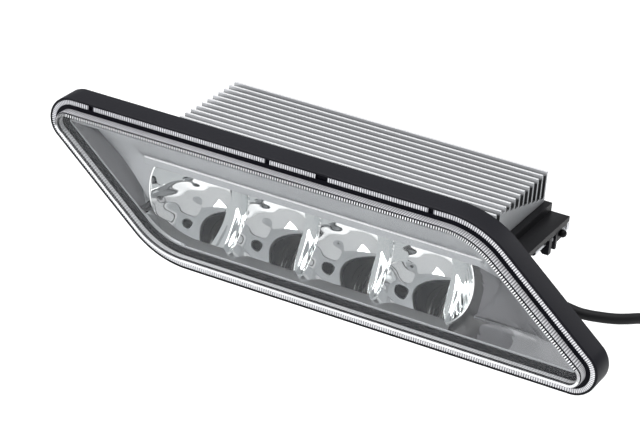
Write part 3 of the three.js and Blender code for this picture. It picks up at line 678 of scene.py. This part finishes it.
def bowl_depth(dx, z):
    """Where the mirror face lies: a paraboloid, with shallow optics moulded into it."""
    rho = (dx ** 2 + (z - BOWL_Z) ** 2) / BOWL_RADIUS ** 2
    y = BOWL_MOUTH + BOWL_DEPTH * (1 - rho)
    u = dx / BOWL_RADIUS
    fade = min(1.0, max(0.0, (1 - rho) * 6))
    if u < -0.3:
        y += fade * 0.42 * math.sin(0.5 * z + 6 * u) * math.sin(11 * (u + 0.3))
    elif u > 0.64:
        y += fade * 0.30 * math.sin(2 * math.pi * (z + 0.5 * dx) / 5.0)
    if 0.46 <= u <= 0.64:
        y += fade * 0.8 * (u - 0.55)
    return y


def visor_limit(y):
    """Highest z that the mirror reaches at depth y: under the visor, then under the LED board."""
    return max(5.1, 12.3 - 0.5 * (y + 10))


def column_top(dx):
    """Top of the mirror at dx: its rim, or the height where the visor or the board stops it."""
    low, high = BOWL_Z, BOWL_Z + math.sqrt(max(0.0, BOWL_RADIUS ** 2 - dx ** 2))
    if high <= visor_limit(bowl_depth(dx, high)):
        return high
    for _ in range(24):
        middle = (low + high) / 2
        if middle > visor_limit(bowl_depth(dx, middle)):
            high = middle
        else:
            low = middle
    return low


def make_reflector(i):
    left = -BOWL_RADIUS + 0.2 if i == 0 else -BOWL_PITCH / 2 + 0.1
    right = BOWL_RADIUS - 0.2 if i == BOWLS - 1 else BOWL_PITCH / 2 - 0.1
    columns, rows = 260, 130
    points, faces = [], []
    for column in range(columns + 1):
        dx = left + (right - left) * column / columns
        bottom = BOWL_Z - math.sqrt(max(0.0, BOWL_RADIUS ** 2 - dx ** 2))
        top = column_top(dx)
        for row in range(rows + 1):
            z = bottom + (top - bottom) * row / rows
            points.append((bowl_x(i) + dx, bowl_depth(dx, z), z))
    for column in range(columns):
        for row in range(rows):
            a = column * (rows + 1) + row
            faces.append((a, a + rows + 1, a + rows + 2, a + 1))
    bowl = add_object(f"bowl_{i + 1}", mesh_from(f"bowl_{i + 1}", points, faces), ["mirror_coat"], 30)
    shell = bowl.modifiers.new("shell", "SOLIDIFY")
    shell.thickness = 0.8 * MM
    shell.offset = -1
    finish_piece(bowl, "mirror_coat", f"reflector_{i + 1}")


def make_bowl_rim(i):
    """The bright lip along a bowl's lower edge, up to where it meets its neighbour's."""
    meeting = math.degrees(math.acos(BOWL_PITCH / 2 / BOWL_RADIUS))
    start = FIRST_LIP_ANGLE if i == 0 else 180 + meeting
    end = 360 + LAST_LIP_ANGLE if i == BOWLS - 1 else 360 - meeting
    steps = 80
    points, faces = [], []
    section = [(-0.05, 0.0), (0.15, -0.35), (0.6, -0.5), (1.1, -0.35), (1.25, 0.3), (0.6, 0.7)]
    for k in range(steps + 1):
        angle = math.radians(start + (end - start) * k / steps)
        for outward, forward in section:
            radius = BOWL_RADIUS + outward
            points.append((bowl_x(i) + radius * math.cos(angle), BOWL_MOUTH + forward,
                           BOWL_Z + radius * math.sin(angle)))
    size = len(section)
    for k in range(steps):
        for row in range(size):
            after = (row + 1) % size
            faces.append((k * size + row, (k + 1) * size + row, (k + 1) * size + after, k * size + after))
    faces.append(tuple(range(size)))
    faces.append(tuple(steps * size + row for row in range(size))[::-1])
    rim = add_object(f"bowl_rim_{i + 1}", mesh_from(f"bowl_rim_{i + 1}", points, faces), ["mirror_coat"], 50)
    finish_piece(rim, "mirror_coat")


for number in range(BOWLS):
    make_reflector(number)
    make_bowl_rim(number)


# ------------------------------------------------------------------ the other pieces

BEVELS = {"heat_sink": 0.25, "rear_housing": 0.5, "back_cover": 0.5, "vent_cap": 0.4,
          "cable_gland": 0.4, "strain_relief": 0.35}
INNER = {"lens_seal", "heat_sink_seal", "housing_seal", "cover_seal"}
DONE = {"front_frame", "lens", "inner_trim", "visor", "supply_cable", "plug_seal", "plug_body",
        "plug_pin_1", "plug_pin_2"} | {f"reflector_{i + 1}" for i in range(BOWLS)}


def dress_heat_sink(piece):
    """Sides of the fins and the floor between them in one finish, with painted shade deepening down into the
    slots; the block's two ends in another, painted darker as shade.
    """
    piece.data.materials.append(LOOK["fin_side_painted_shade"])
    piece.data.materials.append(LOOK["cast_end_painted_shade"])
    first_fin, last_fin, fin_tops = 0.006, 0.098, 0.0275
    for face in piece.data.polygons:
        between_fins = face.normal.z > 0.5 and face.center.z < fin_tops
        # fin sides and slot floors take the finish with painted shade
        if first_fin < face.center.y < last_fin and (abs(face.normal.y) > 0.5 or between_fins):
            face.material_index = 1
        # the block's end faces take the darker finish of painted shade
        elif abs(face.normal.x) > 0.5:
            face.material_index = 2


for name in sorted(frame["nodes"]):
    if name in DONE:
        continue
    if name in INNER:
        frame["nodes"][name].data.materials[0] = LOOK[NODE_SLOT[name]]
    else:
        piece = refined(name, bevel=BEVELS.get(name, 0.2))
        if name == "heat_sink":
            dress_heat_sink(piece)


# ------------------------------------------------------------------ floor and light

def add_light(name, size, energy, at, target=(0, 0, 0)):
    data = bpy.data.lights.new(name, "AREA")
    data.shape = "RECTANGLE"
    data.size, data.size_y = size
    data.energy = energy
    light = bpy.data.objects.new(name, data)
    bpy.context.scene.collection.objects.link(light)
    light.location = at
    light.rotation_euler = (Vector(target) - Vector(at)).to_track_quat("-Z", "Y").to_euler()
    return light


def make_world():
    """A pale studio, a little brighter in front of the lamp than behind it."""
    world = bpy.data.worlds.new("studio")
    world.use_nodes = True
    nodes, links = world.node_tree.nodes, world.node_tree.links
    place = nodes.new("ShaderNodeTexCoord")
    split = nodes.new("ShaderNodeSeparateXYZ")
    ramp = nodes.new("ShaderNodeMapRange")
    ramp.inputs["From Min"].default_value = -0.5
    ramp.inputs["From Max"].default_value = 0.5
    ramp.inputs["To Min"].default_value = 0.62
    ramp.inputs["To Max"].default_value = 0.50
    links.new(place.outputs["Generated"], split.inputs["Vector"])
    links.new(split.outputs["Y"], ramp.inputs["Value"])
    links.new(ramp.outputs["Result"], nodes["Background"].inputs["Strength"])
    nodes["Background"].inputs["Color"].default_value = (0.97, 0.98, 1.0, 1)
    bpy.context.scene.world = world


def make_stage():
    mesh = bpy.data.meshes.new("floor")
    half = 6.0
    mesh.from_pydata([(-half, -half, FLOOR_Z), (half, -half, FLOOR_Z), (half, half, FLOOR_Z),
                      (-half, half, FLOOR_Z)], [], [(0, 1, 2, 3)])
    floor = bpy.data.objects.new("floor", mesh)
    bpy.context.scene.collection.objects.link(floor)
    mesh.materials.append(new_material("floor_paper", (0.93, 0.93, 0.93), 0.9, vary=0.004, bump=0))
    add_light("top_box", (3.2, 2.6), 78, (0.0, 0.2, 2.4))
    add_light("front_box", (1.5, 1.0), 20, (-0.9, -1.3, 1.5))
    add_light("back_box", (0.5, 0.5), 3, (0.9, 1.6, 0.9))
    make_world()
    bpy.context.scene.view_settings.view_transform = "Standard"


make_stage()
